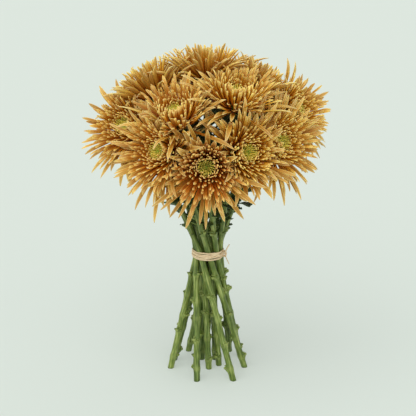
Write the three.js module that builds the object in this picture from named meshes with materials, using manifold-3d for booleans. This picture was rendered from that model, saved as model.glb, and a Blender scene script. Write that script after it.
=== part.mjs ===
// A hand-tied bunch of disbud chrysanthemums: one large bronze bloom of quilled petals to each
// stem, all the side buds having been taken off. The stems are laid in a spiral, bound at the
// waist with raffia and cut level, so that the bunch stands by itself on their ends.
//
// Millimetres, +Z up. The origin is on the table, under the middle of the whole bunch.
import * as THREE from "three";
import { mergeVertices } from "three/addons/utils/BufferGeometryUtils.js";
import Module from "manifold-3d";

const wasm = await Module();
wasm.setup();

// The bunch as a whole.
const TIE_HEIGHT = 134; // the middle of the raffia
const TIE_AXIS = [0.1, 4.6]; // where the tie's own axis stands, from the origin
const DOME_HEIGHT = 245; // the middle of the dome that the hearts lie on
const DOME_RADIUS = 97;
const NOD = 0.93; // how far a bloom faces down, as a share of how far round the dome it is
const GAP = 0.3; // between pieces that touch

// One stem.
const FOOT_RADIUS = 3.5;
const STEM_RADIUS = 3.3;
const NECK_RADIUS = 2.7;
const STEM_SIDES = 6;
const RING_RADIUS = 13; // of the outer stems in the tie
const CUP_RADIUS = 8; // the green cup of bracts under the petals
const CUP_DEPTH = 8;
const CUP_PROFILE = [[0.4, 0.62], [0.75, 0.92], [1, 1]]; // shares of its depth and radius

// One bloom. The petals grow from a round head, in rows from its foot to its top.
const HEAD_RADIUS = 9.5;
const HEAD_TOP = 46; // degrees from the bloom's axis
const HEAD_FOOT = 112;
const PETAL_ROWS = 4;
const PETALS_ROUND = 10; // twice as many petals stand in each row
const INNER_OPEN = 5; // degrees that the innermost petals stand open, and the outermost
const OUTER_OPEN = 102;
const OPENS_LATE = 1.25; // the power of its age that a petal's opening follows
const INNER_LENGTH = 14;
const OUTER_LENGTH = 59;
const MOST_FORWARD = 27; // that a petal reaches, unless it lies nearly flat
const NEARLY_FLAT = 80; // degrees open
const PETAL_WIDTH = 4.8;
const PETAL_THICKNESS = 1.8;
const WIDEST = 0.72; // of the way along a petal
const INNER_CURL = 14; // degrees that the innermost petals curl in, and the outermost droop
const OUTER_CURL = -8;
const HEART_RADIUS = 6.2;
const HEART_LENGTH = 10.5; // of its unopened florets
const HEART_DEPTH = 18; // from the middle of the head to the dome

// Each bloom and its stem. turn and lean, in degrees, say where its heart is on the dome, and
// proud how far it stands above it. glance is how far it is turned aside from facing straight
// out, and rise how far it is turned up. waist is the stem's place in the tie, as a radius and a
// turn. foot is where it stands on the table, from the tie's axis. leaf is the share of the way
// up from the tie at which a leaf was left on, and which way it points.
const BLOOMS = [
  { turn: -91, lean: 82, proud: 2, waist: [13, -44], foot: [36, 19], leaf: [0.55, 180] },
  { turn: -122, lean: 75, proud: 0, waist: [13, -84], foot: [40, -8], leaf: [0.5, -110] },
  { turn: -65, lean: 75, proud: 0, waist: [13, -4], foot: [24, 29], leaf: [0.45, -70] },
  { turn: -35, lean: 74, proud: -3, glance: -15, waist: [13, 34], foot: [-3, 42], leaf: [0.4, -60] },
  { turn: -164, lean: 69, proud: -1, glance: 40, waist: [13, -124], foot: [27, -38], leaf: [0.35, -110] },
  { turn: -115, lean: 50, proud: 2, rise: 18, waist: [6, -60], foot: [12, -4], leaf: [0.7, -40] },
  { turn: -61, lean: 38, proud: 2, rise: 15, waist: [5.5, 2], foot: [8, 10], leaf: [0.62, -130] },
  { turn: 4, lean: 65, proud: 7, glance: -40, waist: [13, 72], foot: [-22, 30], leaf: [0.5, 10] },
  { turn: 48, lean: 66, proud: 0, waist: [13, 108], foot: [-38, 8], leaf: [0.6, 60] },
  { turn: 92, lean: 55, proud: 0, waist: [13, 147], foot: [-41, -10], leaf: [0.7, -90] },
  { turn: 138, lean: 66, proud: 0, waist: [13, 188], foot: [-12, -39], leaf: [0.55, 150] },
  { turn: 12, lean: 38, proud: -2, glance: 15, waist: [6, 68], foot: [-7, 10], leaf: [0.66, -80] },
  { turn: 100, lean: 10, proud: -5, rise: -15, waist: [6, 138], foot: [-13, -4], leaf: [0.55, -90] },
  { turn: 172, lean: 42, proud: 0, glance: -25, waist: [6, 208], foot: [1, -12], leaf: [0.7, -60] },
];

const PETAL = new THREE.MeshStandardMaterial({ color: 0xb87a2c, roughness: 0.6 });
const HEART = new THREE.MeshStandardMaterial({ color: 0x8f9a2a, roughness: 0.65 });
const STEM = new THREE.MeshStandardMaterial({ color: 0x55702e, roughness: 0.6 });
const RAFFIA = new THREE.MeshStandardMaterial({ color: 0xd8bd8e, roughness: 0.8 });

const UP = new THREE.Vector3(0, 0, 1);
const GOLDEN_ANGLE = 137.5;

const radians = THREE.MathUtils.degToRad;
const lerp = THREE.MathUtils.lerp;

// A unit vector, turned from +X round +Z and leaning from upright.
function pointing(turn, lean) {
  return new THREE.Vector3(
    Math.sin(radians(lean)) * Math.cos(radians(turn)),
    Math.sin(radians(lean)) * Math.sin(radians(turn)),
    Math.cos(radians(lean)),
  );
}

// start + direction * distance, as a new vector.
function along(start, direction, distance) {
  return start.clone().addScaledVector(direction, distance);
}

// A unit vector at an angle from one direction towards another, square to it.
function between(ahead, aside, angle) {
  return ahead
    .clone()
    .multiplyScalar(Math.cos(radians(angle)))
    .addScaledVector(aside, Math.sin(radians(angle)));
}

// Repeatable numbers from -1 to 1, for small differences between like pieces.
function unevenness(seed) {
  let state = seed;
  return () => {
    state = (state * 1664525 + 1013904223) % 4294967296;
    return state / 2147483648 - 1;
  };
}

// A geometry from points and faces, which are triples of places in the list of points.
function geometryOf(points, faces) {
  const geometry = new THREE.BufferGeometry().setFromPoints(points);
  geometry.setIndex(faces.flat());
  return geometry;
}

// A closed geometry as a manifold-3d solid, and back.
function solidOf(geometry) {
  const bare = geometry.clone();
  bare.deleteAttribute("normal");
  bare.deleteAttribute("uv");
  const merged = mergeVertices(bare, 1e-3);
  return new wasm.Manifold(
    new wasm.Mesh({
      numProp: 3,
      vertProperties: new Float32Array(merged.attributes.position.array),
      triVerts: new Uint32Array(merged.index.array),
    }),
  );
}

function geometryFrom(solid) {
  const mesh = solid.getMesh();
  const geometry = new THREE.BufferGeometry();
  geometry.setAttribute("position", new THREE.BufferAttribute(mesh.vertProperties, 3));
  geometry.setIndex(new THREE.BufferAttribute(mesh.triVerts, 1));
  return geometry;
}

// A closed skin over rings of points, all with the same number of points, in order along it.
// A spur draws the panel on one side of a ring out to a tip.
function skinOver(rings, spurs = []) {
  const count = rings[0].length;
  const points = rings.flat();
  const faces = [];
  for (let ring = 0; ring + 1 < rings.length; ring++) {
    for (let side = 0; side < count; side++) {
      const a = ring * count + side;
      const b = ring * count + ((side + 1) % count);
      const [c, d] = [b + count, a + count];
      const spur = spurs.find((each) => each.ring === ring && each.side === side);
      if (spur) {
        const tip = points.push(spur.tip) - 1;
        faces.push([a, b, tip], [b, c, tip], [c, d, tip], [d, a, tip]);
      } else {
        faces.push([a, b, c], [a, c, d]);
      }
    }
  }
  const last = (rings.length - 1) * count;
  for (let k = 1; k + 1 < count; k++) {
    faces.push([0, k + 1, k], [last, last + k, last + k + 1]);
  }
  return geometryOf(points, faces);
}

// The frame of a bloom: the middle of its head, the way it faces, and two directions across.
function frameOf({ turn, lean, proud, glance = 0, rise = 0 }) {
  const dome = new THREE.Vector3(0, 0, DOME_HEIGHT);
  const face = pointing(turn + glance, lean * NOD - rise);
  const middle = along(dome, pointing(turn, lean), DOME_RADIUS + proud);
  middle.addScaledVector(face, -HEART_DEPTH);
  const across = pointing(turn + glance + 90, 90);
  const over = face.clone().cross(across);
  return { middle, face, across, over };
}

// The direction out from a bloom's axis at a turn round it.
function outFrom({ across, over }, turn) {
  return between(across, over, turn);
}

// A point in a bloom's frame, turned round its axis, so far out and so far forward.
function placeIn(frame, turn, out, forward) {
  return along(along(frame.middle, frame.face, forward), outFrom(frame, turn), out);
}

// The middle line of a stem, from the table through the tie to the cup under its bloom. It is
// straight up to the tie, and keeps its direction at both ends of the bend above it.
const TIE_PULL = 0.08; // how strongly, as shares of the bend's span
const NECK_PULL = 0.12;
function stemPath(bloom, frame) {
  const [radius, turn] = bloom.waist;
  const foot = new THREE.Vector3(...bloom.foot, 0);
  const waist = pointing(turn, 90).multiplyScalar(radius).setZ(TIE_HEIGHT);
  const rising = waist.clone().sub(foot).normalize();
  const neckDepth = -HEAD_RADIUS * Math.cos(radians(HEAD_FOOT)) + GAP + CUP_DEPTH;
  const neck = along(frame.middle, frame.face, -neckDepth);
  const span = waist.distanceTo(neck);
  const leg = new THREE.LineCurve3(foot, waist);
  const arm = new THREE.CubicBezierCurve3(
    waist,
    along(waist, rising, TIE_PULL * span),
    along(neck, frame.face, -NECK_PULL * span),
    neck,
  );
  return { leg, arm };
}

const frames = BLOOMS.map(frameOf);
const paths = BLOOMS.map((bloom, k) => stemPath(bloom, frames[k]));

// Balls that stand for all that is placed so far, by the cell of space that they are in. Each
// has an owner, a bloom with its stem. A deep one lies so near the owner's own head that its
// other petals may touch it.
const CELL = 20;
const cells = new Map();
const cellOf = ({ x, y, z }) => [x, y, z].map((value) => Math.floor(value / CELL));

function claim(owner, balls) {
  for (const ball of balls) {
    const key = cellOf(ball.centre).join();
    if (!cells.has(key)) cells.set(key, []);
    cells.get(key).push({ ...ball, owner });
  }
}

const STEPS = [-1, 0, 1];
const AROUND = STEPS.flatMap((x) => STEPS.flatMap((y) => STEPS.map((z) => [x, y, z])));
const OWN_ROOM = 0.6; // petals of one bloom may lie this much nearer to each other

function isFree(owner, balls) {
  return balls.every(({ centre, radius, deep }) => {
    const [x, y, z] = cellOf(centre);
    return AROUND.every(([right, back, up]) => {
      const near = cells.get([x + right, y + back, z + up].join()) ?? [];
      return near.every((other) => {
        const own = other.owner === owner;
        if (own && (deep || other.deep)) return true;
        const room = (radius + other.radius) * (own ? OWN_ROOM : 1) + GAP;
        return other.centre.distanceTo(centre) > room;
      });
    });
  });
}

// Stems, cups, heads and the space before each heart take their room first, and leaves and
// petals are fitted round them.
const HEART_SPACE = [[0, 11], [12, 15], [24, 18]]; // how far in front of the head, and how wide
const STEM_BALLS = 60;
paths.forEach(({ leg, arm }, owner) => {
  const { middle, face } = frames[owner];
  const line = [leg, arm].flatMap((curve) => curve.getSpacedPoints(STEM_BALLS));
  const foot = HEAD_RADIUS * Math.cos(radians(HEAD_FOOT));
  const balls = [
    ...line.map((centre) => ({ centre, radius: STEM_RADIUS })),
    ...CUP_PROFILE.map(([depth, width]) => ({
      centre: along(middle, face, foot - (1 - depth) * CUP_DEPTH),
      radius: width * CUP_RADIUS,
    })),
    ...HEART_SPACE.map(([forward, radius]) => ({ centre: along(middle, face, forward), radius })),
  ];
  claim(owner, balls.map((ball) => ({ ...ball, deep: true })));
});

// A petal grows from start and opens so far from the bloom's axis, towards outward. It is
// three-sided, with corners at its widest part, and ends in a point. An inner petal curls in,
// and an outer one droops.
function petalShape(frame, { start, outward, open, curl, length, width, flatSideUp }) {
  const side = frame.face.clone().cross(outward);
  const wide = along(start, between(frame.face, outward, open + curl), WIDEST * length);
  const lift = between(frame.face, outward, open + curl - 90);
  const thick = (flatSideUp ? 1 : -1) * PETAL_THICKNESS;
  const corner = (across, up) => along(along(wide, side, across), lift, up);
  const left = corner(-width / 2, thick / 3);
  const right = corner(width / 2, thick / 3);
  const keel = corner(0, (-2 * thick) / 3);
  const tip = along(start, between(frame.face, outward, open), length);
  return { start, wide, tip, corners: flatSideUp ? [left, keel, right] : [left, right, keel] };
}

// Balls along a petal, from its root past its widest part to its tip.
const BALL_STEP = 3;
const ROOT_BALL = 3.2;
const TIP_BALL = 0.4;
const DEEP = 13; // how far out petals of one bloom may touch
function petalBalls({ start, wide, tip }, width) {
  const ballsOn = (from, to, thickFrom, thickTo) => {
    const count = Math.ceil(from.distanceTo(to) / BALL_STEP);
    return Array.from({ length: count }, (_, k) => {
      const centre = from.clone().lerp(to, (k + 1) / count);
      const radius = lerp(thickFrom, thickTo, (k + 1) / count);
      return { centre, radius, deep: centre.distanceTo(start) < DEEP };
    });
  };
  const wideBall = 0.52 * width;
  return [
    ...ballsOn(start, wide, ROOT_BALL, wideBall),
    ...ballsOn(wide, tip, wideBall, TIP_BALL),
  ];
}

const LENGTHS = [1, 0.88, 0.76, 0.64, 0.52, 0.4, 0.3, 0.2]; // as shares of the full length
const OPENINGS = [1, 0.93, 0.86, 0.79, 0.72, 0.65, 0.58, 0.51, 0.44, 1.1, 1.2];
const SWINGS = [0, 6, -6]; // degrees to the side
const UNEVEN_OPEN = 4; // degrees
const UNEVEN_LENGTH = 0.1; // as a share
const YOUNG_WIDTH = 0.6; // of the innermost petals, as a share of the full width

// How long a petal that stands so far open may be, when its neighbours keep it from opening more.
function mostFor(open) {
  return open < NEARLY_FLAT ? MOST_FORWARD / Math.cos(radians(open)) : Infinity;
}

// The petal on one face of a head, as long and then as open as the space round it allows.
function fitPetal(owner, start, { turn, age, flatSideUp }, uneven) {
  const frame = frames[owner];
  const fullOpen = lerp(INNER_OPEN, OUTER_OPEN, age ** OPENS_LATE) + UNEVEN_OPEN * uneven();
  const fullLength = lerp(INNER_LENGTH, OUTER_LENGTH, age) * (1 + UNEVEN_LENGTH * uneven());
  const width = PETAL_WIDTH * lerp(YOUNG_WIDTH, 1, age);
  const curl = lerp(INNER_CURL, OUTER_CURL, age);
  let petal;
  for (const length of LENGTHS) {
    for (const open of OPENINGS) {
      for (const swing of SWINGS) {
        petal = petalShape(frame, {
          start,
          outward: outFrom(frame, turn + swing),
          open: fullOpen * open,
          curl,
          length: length * Math.min(fullLength, mostFor(fullOpen * open)),
          width,
          flatSideUp,
        });
        const balls = petalBalls(petal, width);
        if (isFree(owner, balls)) {
          claim(owner, balls);
          return petal;
        }
      }
    }
  }
  return petal;
}

// A head has rings of points, and a petal grows from every triangle between them.
const TURN_STEP = 360 / PETALS_ROUND;
const onRing = (row, k) => row * PETALS_ROUND + (k % PETALS_ROUND);

function headPoints(frame) {
  return Array.from({ length: (PETAL_ROWS + 1) * PETALS_ROUND }, (_, index) => {
    const row = Math.floor(index / PETALS_ROUND);
    const turn = (index - row * PETALS_ROUND + row / 2) * TURN_STEP;
    const polar = radians(lerp(HEAD_TOP, HEAD_FOOT, row / PETAL_ROWS));
    return placeIn(frame, turn, HEAD_RADIUS * Math.sin(polar), HEAD_RADIUS * Math.cos(polar));
  });
}

// The triangles, with the turn, age and side up of the petal on each, from foot to top.
const sockets = [];
for (let row = PETAL_ROWS - 1; row >= 0; row--) {
  for (let k = 0; k < PETALS_ROUND; k++) {
    sockets.push({
      base: [onRing(row + 1, k), onRing(row + 1, k + 1), onRing(row, k + 1)],
      turn: (k + row / 2 + 1) * TURN_STEP,
      age: (row + 2 / 3) / PETAL_ROWS,
      flatSideUp: false,
    });
  }
  for (let k = 0; k < PETALS_ROUND; k++) {
    sockets.push({
      base: [onRing(row, k), onRing(row + 1, k), onRing(row, k + 1)],
      turn: (k + row / 2 + 1 / 2) * TURN_STEP,
      age: (row + 1 / 3) / PETAL_ROWS,
      flatSideUp: true,
    });
  }
}

// The petals of all blooms, fitted from the outermost in, one of each bloom in turn, so that
// neighbours share the room between them.
function fitPetals() {
  const heads = frames.map(headPoints);
  const draws = BLOOMS.map((_, owner) => unevenness(owner + 11));
  const petals = BLOOMS.map(() => []);
  for (const socket of sockets) {
    BLOOMS.forEach((_, owner) => {
      const start = new THREE.Vector3();
      socket.base.forEach((index) => start.addScaledVector(heads[owner][index], 1 / 3));
      petals[owner].push(fitPetal(owner, start, socket, draws[owner]));
    });
  }
  return petals;
}

// A bloom in one piece: a head with its petals raised from it.
function makePetals(owner, petals) {
  const points = headPoints(frames[owner]);
  const faces = [];
  sockets.forEach(({ base }, k) => {
    const { corners, tip } = petals[k];
    const first = points.push(...corners, tip) - 4;
    for (let side = 0; side < 3; side++) {
      const next = (side + 1) % 3;
      faces.push(
        [base[side], base[next], first + next],
        [base[side], first + next, first + side],
        [first + side, first + next, first + 3],
      );
    }
  });
  for (let k = 1; k + 1 < PETALS_ROUND; k++) {
    faces.push([onRing(0, 0), onRing(0, k), onRing(0, k + 1)]);
    faces.push([onRing(PETAL_ROWS, 0), onRing(PETAL_ROWS, k + 1), onRing(PETAL_ROWS, k)]);
  }
  return geometryOf(points, faces);
}

// The heart of a bloom: a button of green florets that haven't opened, tips to the middle. Its
// sizes are shares of its radius and of the florets' length, out and forward.
const HEART_SIDES = 7;
const HEART_FOOT = [0.85, 0];
const HEART_RIM = [1, 0.3];
const HEART_TOP = [0.5, 0.5];
const HEART_CROWN = [0, 0.5];
const FLORET_TIPS = [[0.9, 1], [0.6, 0.95], [0.25, 0.8]];
function makeHeart(owner) {
  const step = 360 / HEART_SIDES;
  const seat = HEAD_RADIUS * Math.cos(radians(HEAD_TOP)) + GAP;
  const place = ([out, forward], turn) =>
    placeIn(frames[owner], turn, out * HEART_RADIUS, seat + forward * HEART_LENGTH);
  const ring = (where, shift) =>
    Array.from({ length: HEART_SIDES }, (_, k) => place(where, (k + shift) * step));
  const points = [...ring(HEART_FOOT, 0), ...ring(HEART_RIM, 0), ...ring(HEART_TOP, 0.5)];
  const crown = points.push(place(HEART_CROWN, 0)) - 1;
  const [low, mid, top] = [0, HEART_SIDES, 2 * HEART_SIDES];
  const faces = [];

  // Raises a floret from three points.
  function raise([a, b, c], where, turn) {
    const tip = points.push(place(where, turn)) - 1;
    faces.push([a, b, tip], [b, c, tip], [c, a, tip]);
  }

  for (let k = 0; k < HEART_SIDES; k++) {
    const next = (k + 1) % HEART_SIDES;
    faces.push([low + k, low + next, mid + next], [low + k, mid + next, mid + k]);
    raise([mid + k, mid + next, top + k], FLORET_TIPS[0], (k + 0.5) * step);
    raise([top + k, mid + next, top + next], FLORET_TIPS[1], (k + 1) * step);
    raise([top + k, top + next, crown], FLORET_TIPS[2], (k + 1) * step);
    if (k > 1) faces.push([low, low + k, low + k - 1]);
  }
  return geometryOf(points, faces);
}

// Rings of points round a line, each as {at, heading, radius}, without a twist between them.
function ringsAlong(stations, sides) {
  const spin = new THREE.Quaternion();
  const out = new THREE.Vector3(1, 0, 0).cross(stations[0].heading).normalize();
  let before = stations[0].heading;
  return stations.map(({ at, heading, radius }) => {
    out.applyQuaternion(spin.setFromUnitVectors(before, heading));
    before = heading;
    const side = heading.clone().cross(out);
    return Array.from({ length: sides }, (_, k) =>
      along(at, between(out, side, (k * 360) / sides), radius));
  });
}

// A small leaf with lobed edges, folded up along its rib, that grows from a stem and arches
// away from it.
const LEAF_LENGTH = 32;
const LEAF_HALF_WIDTH = 9;
const LEAF_THICKNESS = 0.8;
const LEAF_RIB = 0.9; // half the width of its rib and stalk
const LEAF_RIB_DEPTH = 0.56;
const LEAF_NOTCH = 0.55; // between its lobes, as a share of the width
const LEAF_STATIONS = 8;
const LEAF_STALK = 0.28; // share of the length with no blade
const LEAF_RISE = 35; // degrees between leaf and stem at its foot, and at its tip
const LEAF_FALL = 75;
const LEAF_SWEEP = 0.3; // how far its edges reach forward and up, as shares of its half width
const LEAF_FOLD = 0.25;
function leafStations(at, heading, out) {
  const side = heading.clone().cross(out).normalize();
  const rib = at.clone();
  const stations = [];
  for (let k = 0; k <= LEAF_STATIONS; k++) {
    const share = k / LEAF_STATIONS;
    const angle = lerp(LEAF_RISE, LEAF_FALL, share);
    const way = between(heading, out, angle);
    const up = between(heading, out, angle - 90);
    const blade = share > LEAF_STALK && k < LEAF_STATIONS;
    const swell = blade ? Math.sin((Math.PI * (share - 0.15)) / 0.9) : 0;
    const lobe = k % 2 ? 1 : LEAF_NOTCH;
    const half = Math.max(LEAF_RIB, LEAF_HALF_WIDTH * swell * lobe);
    stations.push({ rib: rib.clone(), side, way, up, half });
    rib.addScaledVector(way, LEAF_LENGTH / LEAF_STATIONS);
  }
  return stations;
}

function makeLeaf(stations) {
  const rings = stations.map(({ rib, side, way, up, half }) => {
    const edge = (sign) => {
      const swept = along(along(rib, side, sign * half), way, LEAF_SWEEP * half);
      return along(swept, up, LEAF_FOLD * half);
    };
    const [left, right] = [edge(-1), edge(1)];
    return [
      along(left, up, LEAF_THICKNESS / 2),
      along(left, up, -LEAF_THICKNESS / 2),
      along(rib, up, -LEAF_RIB_DEPTH),
      along(right, up, -LEAF_THICKNESS / 2),
      along(right, up, LEAF_THICKNESS / 2),
      along(rib, up, LEAF_RIB_DEPTH),
    ];
  });
  return solidOf(skinOver(rings));
}

// Where a bloom's leaf grows: towards the side asked for, or the nearest clear one to it.
const LEAF_TURN = 20; // degrees between the sides that are tried
const ACROSS = [-0.9, -0.45, 0, 0.45, 0.9];
const BLADE_BALL = 2;
function fitLeaf(owner) {
  const [share, wanted] = BLOOMS[owner].leaf;
  const { arm } = paths[owner];
  const at = arm.getPointAt(share);
  const heading = arm.getTangentAt(share);
  for (let tries = 0; tries < 360 / LEAF_TURN; tries++) {
    const turn = wanted + LEAF_TURN * Math.ceil(tries / 2) * (tries % 2 ? 1 : -1);
    const level = pointing(turn, 90);
    const out = level.addScaledVector(heading, -level.dot(heading)).normalize();
    const stations = leafStations(at, heading, out);
    const balls = stations.slice(2).flatMap(({ rib, side, half }) =>
      ACROSS.map((part) => {
        return { centre: along(rib, side, part * half), radius: BLADE_BALL, deep: true };
      }));
    if (isFree(owner, balls)) {
      claim(owner, balls);
      return stations;
    }
  }
  return null;
}

// A stem swells a little where each leaf was stripped from it, and keeps a stub of the leaf's
// stalk there. Stubs go round it by the golden angle, or to the next side that has room.
const LEG_NODES = [0.09, 0.27, 0.45, 0.63, 0.79]; // shares of the way up from the table
const ARM_NODES = [0.2, 0.36, 0.52]; // shares of the way up from the tie
const ARM_BENDS = [0.68, 0.84, 1];
const UNEVEN_NODES = 0.03;
const NODE_SWELL = 1.14;
const NODE_LENGTH = 5;
const STUB_OUT = 4.6;
const STUB_UP = 2.4;
const STUB_BALL = 2;
function stemStations(owner) {
  const { leg, arm } = paths[owner];
  const { face } = frames[owner];
  const uneven = unevenness(owner + 31);
  const stations = [];
  const nodes = [];
  function addStation(curve, share, swell = 1) {
    const [from, to] = curve === leg ? [FOOT_RADIUS, STEM_RADIUS] : [STEM_RADIUS, NECK_RADIUS];
    const radius = lerp(from, to, share) * swell;
    stations.push({ at: curve.getPointAt(share), heading: curve.getTangentAt(share), radius });
  }
  function addNode(curve, share) {
    const place = share + UNEVEN_NODES * uneven();
    nodes.push(stations.length);
    addStation(curve, place, NODE_SWELL);
    addStation(curve, place + NODE_LENGTH / curve.getLength());
  }
  addStation(leg, 0);
  LEG_NODES.forEach((share) => addNode(leg, share));
  addStation(arm, 0);
  ARM_NODES.forEach((share) => addNode(arm, share));
  ARM_BENDS.forEach((share) => addStation(arm, share));
  const neck = arm.getPointAt(1);
  for (const [depth, width] of CUP_PROFILE) {
    const at = along(neck, face, depth * CUP_DEPTH);
    stations.push({ at, heading: face, radius: width * CUP_RADIUS });
  }
  return { stations, nodes };
}

function fitStem(owner) {
  const { stations, nodes } = stemStations(owner);
  const rings = ringsAlong(stations, STEM_SIDES);
  // The foot is cut level with the table.
  const { heading: rise } = stations[0];
  rings[0] = rings[0].map((point) => along(point, rise, -point.z / rise.z).setZ(0));

  const spurs = [];
  nodes.forEach((ring, k) => {
    const { at, heading } = stations[ring];
    const centre = at.clone().lerp(stations[ring + 1].at, 0.5);
    const first = Math.round(((k + 0.4 * owner) * GOLDEN_ANGLE * STEM_SIDES) / 360);
    for (let tries = 0; tries < STEM_SIDES; tries++) {
      const side = (first + tries) % STEM_SIDES;
      const panel = rings[ring][(side + 1) % STEM_SIDES].clone().lerp(rings[ring + 1][side], 0.5);
      const out = panel.clone().sub(centre).normalize();
      const tip = along(along(panel, out, STUB_OUT), heading, STUB_UP);
      const balls = [{ centre: panel.lerp(tip, 0.6), radius: STUB_BALL, deep: true }];
      if (isFree(owner, balls)) {
        claim(owner, balls);
        spurs.push({ ring, side, tip });
        break;
      }
    }
  });
  return { rings, spurs };
}

function makeStem({ rings, spurs }, leaf) {
  const stem = solidOf(skinOver(rings, spurs));
  return leaf ? stem.add(makeLeaf(leaf)) : stem;
}

// The raffia: strands wound round the waist and knotted at the right, with two short ends.
const TIE_WIDTH = 8.5;
const TIE_THICKNESS = 0.9;
const TIE_SEGMENTS = 24;
const TIE_ROOM = 0.8; // round the stems, which lean as they pass through
const TIE_BORE = (RING_RADIUS + STEM_RADIUS + TIE_ROOM) / Math.cos(Math.PI / TIE_SEGMENTS);
const STRANDS = 3;
const GROOVE = 0.55; // of its thickness is left between strands
const KNOT_TURN = -22;
const KNOT_SIZE = [2.4, 3.4, 2.6]; // half its size outwards, sideways and upwards
const ENDS = [[20, 60], [150, -40]]; // degrees that each lies from upright, and round from outwards
const END_LENGTH = 11;
const END_WIDTHS = [1.3, 0.7]; // half its width at the knot and at its cut
const END_THICKNESS = 0.4;
const END_SPREAD = 2; // how far it curls away from the stems
function makeBand() {
  const half = TIE_WIDTH / 2;
  const strand = TIE_WIDTH / STRANDS;
  const outline = [[TIE_BORE, -half], [TIE_BORE, half]];
  for (let k = 0; k < STRANDS; k++) {
    outline.push([TIE_BORE + GROOVE * TIE_THICKNESS, half - k * strand]);
    outline.push([TIE_BORE + TIE_THICKNESS, half - (k + 0.5) * strand]);
  }
  outline.push([TIE_BORE + GROOVE * TIE_THICKNESS, -half], outline[0]);
  const section = outline.map(([out, up]) => new THREE.Vector2(out, up)).reverse();
  return solidOf(new THREE.LatheGeometry(section, TIE_SEGMENTS).rotateX(Math.PI / 2));
}

function makeTie() {
  const outwards = pointing(KNOT_TURN, 90);
  const sideways = pointing(KNOT_TURN + 90, 90);
  const knotAt = outwards.clone().multiplyScalar(TIE_BORE + KNOT_SIZE[0]);
  const basis = new THREE.Matrix4().makeBasis(outwards, sideways, UP).setPosition(knotAt);
  const knot = new THREE.SphereGeometry(1, 8, 5).scale(...KNOT_SIZE).applyMatrix4(basis);
  let tie = makeBand().add(solidOf(knot));
  for (const [lean, turn] of ENDS) {
    const way = between(UP, between(outwards, sideways, turn), lean);
    const flat = way.clone().cross(outwards).normalize();
    const rings = [0, 0.5, 1].map((part) => {
      const at = along(along(knotAt, way, part * END_LENGTH), outwards, END_SPREAD * part ** 2);
      const width = lerp(...END_WIDTHS, part);
      return [
        along(at, flat, -width),
        along(at, outwards, -END_THICKNESS),
        along(at, flat, width),
        along(at, outwards, END_THICKNESS),
      ];
    });
    tie = tie.add(solidOf(skinOver(rings)));
  }
  return tie;
}

const bunch = new THREE.Group();
bunch.position.set(...TIE_AXIS, 0);

// Adds a named piece to the bunch.
function addPiece(name, geometry, material, height = 0) {
  const piece = new THREE.Mesh(geometry, material);
  piece.name = name;
  piece.position.z = height;
  bunch.add(piece);
}

const leaves = BLOOMS.map((_, owner) => fitLeaf(owner));
const stems = BLOOMS.map((_, owner) => fitStem(owner));
const petals = fitPetals();
BLOOMS.forEach((_, k) => {
  const number = String(k + 1).padStart(2, "0");
  addPiece(`bloom_${number}_petals`, makePetals(k, petals[k]), PETAL);
  addPiece(`bloom_${number}_heart`, makeHeart(k), HEART);
  addPiece(`stem_${number}`, geometryFrom(makeStem(stems[k], leaves[k])), STEM);
});
addPiece("raffia_tie", geometryFrom(makeTie()), RAFFIA, TIE_HEIGHT);

export default bunch;
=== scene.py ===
import math
import random

import bmesh
import bpy
import numpy as np
from mathutils import Matrix, Vector


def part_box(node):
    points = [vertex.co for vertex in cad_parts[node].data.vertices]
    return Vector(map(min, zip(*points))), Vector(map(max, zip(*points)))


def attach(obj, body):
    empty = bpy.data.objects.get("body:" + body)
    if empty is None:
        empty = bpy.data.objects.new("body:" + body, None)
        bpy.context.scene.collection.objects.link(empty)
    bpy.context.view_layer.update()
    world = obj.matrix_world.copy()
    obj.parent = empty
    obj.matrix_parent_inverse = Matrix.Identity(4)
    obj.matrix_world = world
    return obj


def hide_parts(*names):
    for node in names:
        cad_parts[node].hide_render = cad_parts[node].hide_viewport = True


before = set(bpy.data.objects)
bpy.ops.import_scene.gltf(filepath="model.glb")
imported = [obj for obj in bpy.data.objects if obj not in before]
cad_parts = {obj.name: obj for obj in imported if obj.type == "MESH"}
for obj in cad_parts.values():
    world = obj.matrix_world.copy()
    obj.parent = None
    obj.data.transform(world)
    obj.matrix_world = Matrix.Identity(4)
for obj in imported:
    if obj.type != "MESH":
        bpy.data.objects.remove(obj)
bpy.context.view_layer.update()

MM = 0.001
bpy.ops.object.select_all(action="DESELECT")

# The heads. A chrysanthemum bloom is some hundreds of florets crowded on one round, fleshy head,
# green and unopened in the middle, long and open at the rim. The frame's blooms have one raised
# petal to a socket: they say where each head is, how it faces, and how far its petals reach.
JOIN_WITHIN = 0.002 * MM
TIP_FACES = 3  # that meet at the tip of a petal
CORNER_FACES = 5  # that meet at one of its other corners
SOCKETS_FORWARD = 1.66 * MM  # the middle of all the sockets, in front of the head's own middle
INNERMOST = 46  # degrees from the bloom's axis to its first sockets, and to its last
OUTERMOST = 112
RING = 10  # petals in one ring of the frame's blooms
numbers = [name.split("_")[1] for name in sorted(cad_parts) if name.endswith("_petals")]


def joined(node):
    """A copy of a node's mesh, its loose triangles joined."""
    shell = bmesh.new()
    shell.from_mesh(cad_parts[node].data)
    bmesh.ops.remove_doubles(shell, verts=shell.verts, dist=JOIN_WITHIN)
    return shell


def middle_of(verts):
    return sum((v.co for v in verts), Vector()) / len(verts)


def degrees_between(one, other):
    return math.degrees(Vector(one).angle(Vector(other)))


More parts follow.
